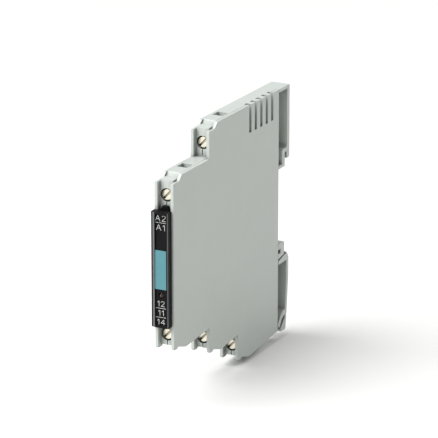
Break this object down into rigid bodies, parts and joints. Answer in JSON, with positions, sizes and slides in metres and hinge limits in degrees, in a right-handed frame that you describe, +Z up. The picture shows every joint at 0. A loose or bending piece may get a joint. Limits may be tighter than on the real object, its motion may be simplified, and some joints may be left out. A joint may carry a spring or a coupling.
{
  "type": "slim coupling relay module",
  "caption": "Slim stepped relay module that clips on a mounting rail, with screw terminals on staggered tiers, a vented side cover, a front label carrier and a small relay inside.",
  "frame": {"origin": "middle of the mounting rail's width, on the plane of the module's rail seats, midway between the side plates", "axes": "+Z up the module's height, -Y towards its front with the label, +X out of the flat side cover"},
  "size_m": [0.0068, 0.083, 0.0858],
  "materials": {
    "shell_plastic": "light grey moulded polyamide, fine matt texture",
    "black_plastic": "black moulded plastic, satin",
    "tag_plastic": "turquoise marking tag, matt",
    "clear_plastic": "clear light guide",
    "screw_nickel": "nickel-plated steel",
    "clamp_zinc": "zinc-plated steel sheet",
    "bar_copper": "tinned copper alloy",
    "board_laminate": "green solder-masked laminate",
    "lamp_red": "red lamp body",
    "dark_epoxy": "dark epoxy component bodies",
    "resistor_body": "lacquered resistor",
    "capacitor_sleeve": "printed sleeve",
    "relay_plastic": "blue relay case",
    "pin_tin": "tinned pins",
    "bobbin_plastic": "natural moulded bobbin",
    "copper_wire": "enamelled copper wire",
    "soft_iron": "plated soft iron",
    "spring_brass": "spring bronze",
    "contact_silver": "silver alloy contacts"
  },
  "bodies": {
    "housing": {"housing_shell": "shell_plastic", "side_cover": "shell_plastic", "light_guide": "clear_plastic", "bar_a1": "bar_copper", "bar_a2": "bar_copper", "bar_12": "bar_copper", "bar_11": "bar_copper", "bar_14": "bar_copper", "circuit_board": "board_laminate", "status_led": "lamp_red", "rectifier": "dark_epoxy", "suppressor_diode": "dark_epoxy", "series_resistor": "resistor_body", "smoothing_capacitor": "capacitor_sleeve", "relay_base": "relay_plastic", "relay_case": "relay_plastic", "relay_pins": "pin_tin", "coil_bobbin": "bobbin_plastic", "coil_winding": "copper_wire", "coil_core": "soft_iron", "magnet_yoke": "soft_iron", "contact_make": "spring_brass", "contact_break": "spring_brass"},
    "latch_foot": {"rail_foot": "shell_plastic"},
    "label": {"label_carrier": "black_plastic", "marking_tag": "tag_plastic"},
    "armature_lever": {"armature": "soft_iron"},
    "pusher": {"pusher_card": "bobbin_plastic"},
    "contact_blade": {"contact_spring": "spring_brass", "moving_rivet": "contact_silver"},
    "screw_a1_turn": {"screw_a1": "screw_nickel"},
    "clamp_a1_slide": {"clamp_a1": "clamp_zinc"},
    "screw_a2_turn": {"screw_a2": "screw_nickel"},
    "clamp_a2_slide": {"clamp_a2": "clamp_zinc"},
    "screw_12_turn": {"screw_12": "screw_nickel"},
    "clamp_12_slide": {"clamp_12": "clamp_zinc"},
    "screw_11_turn": {"screw_11": "screw_nickel"},
    "clamp_11_slide": {"clamp_11": "clamp_zinc"},
    "screw_14_turn": {"screw_14": "screw_nickel"},
    "clamp_14_slide": {"clamp_14": "clamp_zinc"}
  },
  "joints": [
    {"name": "screw_a1_turns", "type": "hinge", "parent": "housing", "child": "screw_a1_turn", "pos_m": [0, -0.075, 0.02325], "axis": [0, 1, 0], "range_deg": [0, 2881]},
    {"name": "clamp_a1_lifts", "type": "slide", "parent": "housing", "child": "clamp_a1_slide", "axis": [0, -1, 0], "range_m": [0, 0.0036]},
    {"name": "screw_a2_turns", "type": "hinge", "parent": "housing", "child": "screw_a2_turn", "pos_m": [0, -0.0513, 0.034], "axis": [0, 1, 0], "range_deg": [0, 2881]},
    {"name": "clamp_a2_lifts", "type": "slide", "parent": "housing", "child": "clamp_a2_slide", "axis": [0, -1, 0], "range_m": [0, 0.0036]},
    {"name": "screw_12_turns", "type": "hinge", "parent": "housing", "child": "screw_12_turn", "pos_m": [0, -0.075, -0.0223], "axis": [0, 1, 0], "range_deg": [0, 2881]},
    {"name": "clamp_12_lifts", "type": "slide", "parent": "housing", "child": "clamp_12_slide", "axis": [0, -1, 0], "range_m": [0, 0.0036]},
    {"name": "screw_11_turns", "type": "hinge", "parent": "housing", "child": "screw_11_turn", "pos_m": [0, -0.0513, -0.0309], "axis": [0, 1, 0], "range_deg": [0, 2881]},
    {"name": "clamp_11_lifts", "type": "slide", "parent": "housing", "child": "clamp_11_slide", "axis": [0, -1, 0], "range_m": [0, 0.0036]},
    {"name": "screw_14_turns", "type": "hinge", "parent": "housing", "child": "screw_14_turn", "pos_m": [0, -0.0315, -0.0399], "axis": [0, 1, 0], "range_deg": [0, 2881]},
    {"name": "clamp_14_lifts", "type": "slide", "parent": "housing", "child": "clamp_14_slide", "axis": [0, -1, 0], "range_m": [0, 0.0036]},
    {"name": "foot_release", "type": "slide", "parent": "housing", "child": "latch_foot", "axis": [0, 0, -1], "range_m": [0, 0.0025], "stiffness_N_per_m": 800, "springref_m": -0.001},
    {"name": "label_pull", "type": "slide", "parent": "housing", "child": "label", "axis": [0, -1, 0], "range_m": [0, 0.008]},
    {"name": "armature_tip", "type": "hinge", "parent": "housing", "child": "armature_lever", "pos_m": [0, -0.0211, 0.0033], "axis": [-1, 0, 0], "range_deg": [0, 2.2], "stiffness_Nm_per_rad": 0.02, "springref_deg": -1.15},
    {"name": "pusher_shift", "type": "slide", "parent": "housing", "child": "pusher", "axis": [0, -1, 0], "range_m": [0, 0.00034]},
    {"name": "contact_flex", "type": "hinge", "parent": "housing", "child": "contact_blade", "pos_m": [0, -0.0167, 0.0048], "axis": [-1, 0, 0], "range_deg": [0, 1.9]}
  ],
  "couplings": [
    {"joint": "screw_a1_turns", "follows": "clamp_a1_lifts", "rad_per_m": 13963},
    {"joint": "screw_a2_turns", "follows": "clamp_a2_lifts", "rad_per_m": 13963},
    {"joint": "screw_12_turns", "follows": "clamp_12_lifts", "rad_per_m": 13963},
    {"joint": "screw_11_turns", "follows": "clamp_11_lifts", "rad_per_m": 13963},
    {"joint": "screw_14_turns", "follows": "clamp_14_lifts", "rad_per_m": 13963},
    {"joint": "pusher_shift", "follows": "armature_tip", "m_per_rad": 0.0086},
    {"joint": "contact_flex", "follows": "armature_tip", "ratio": 0.8515}
  ]
}
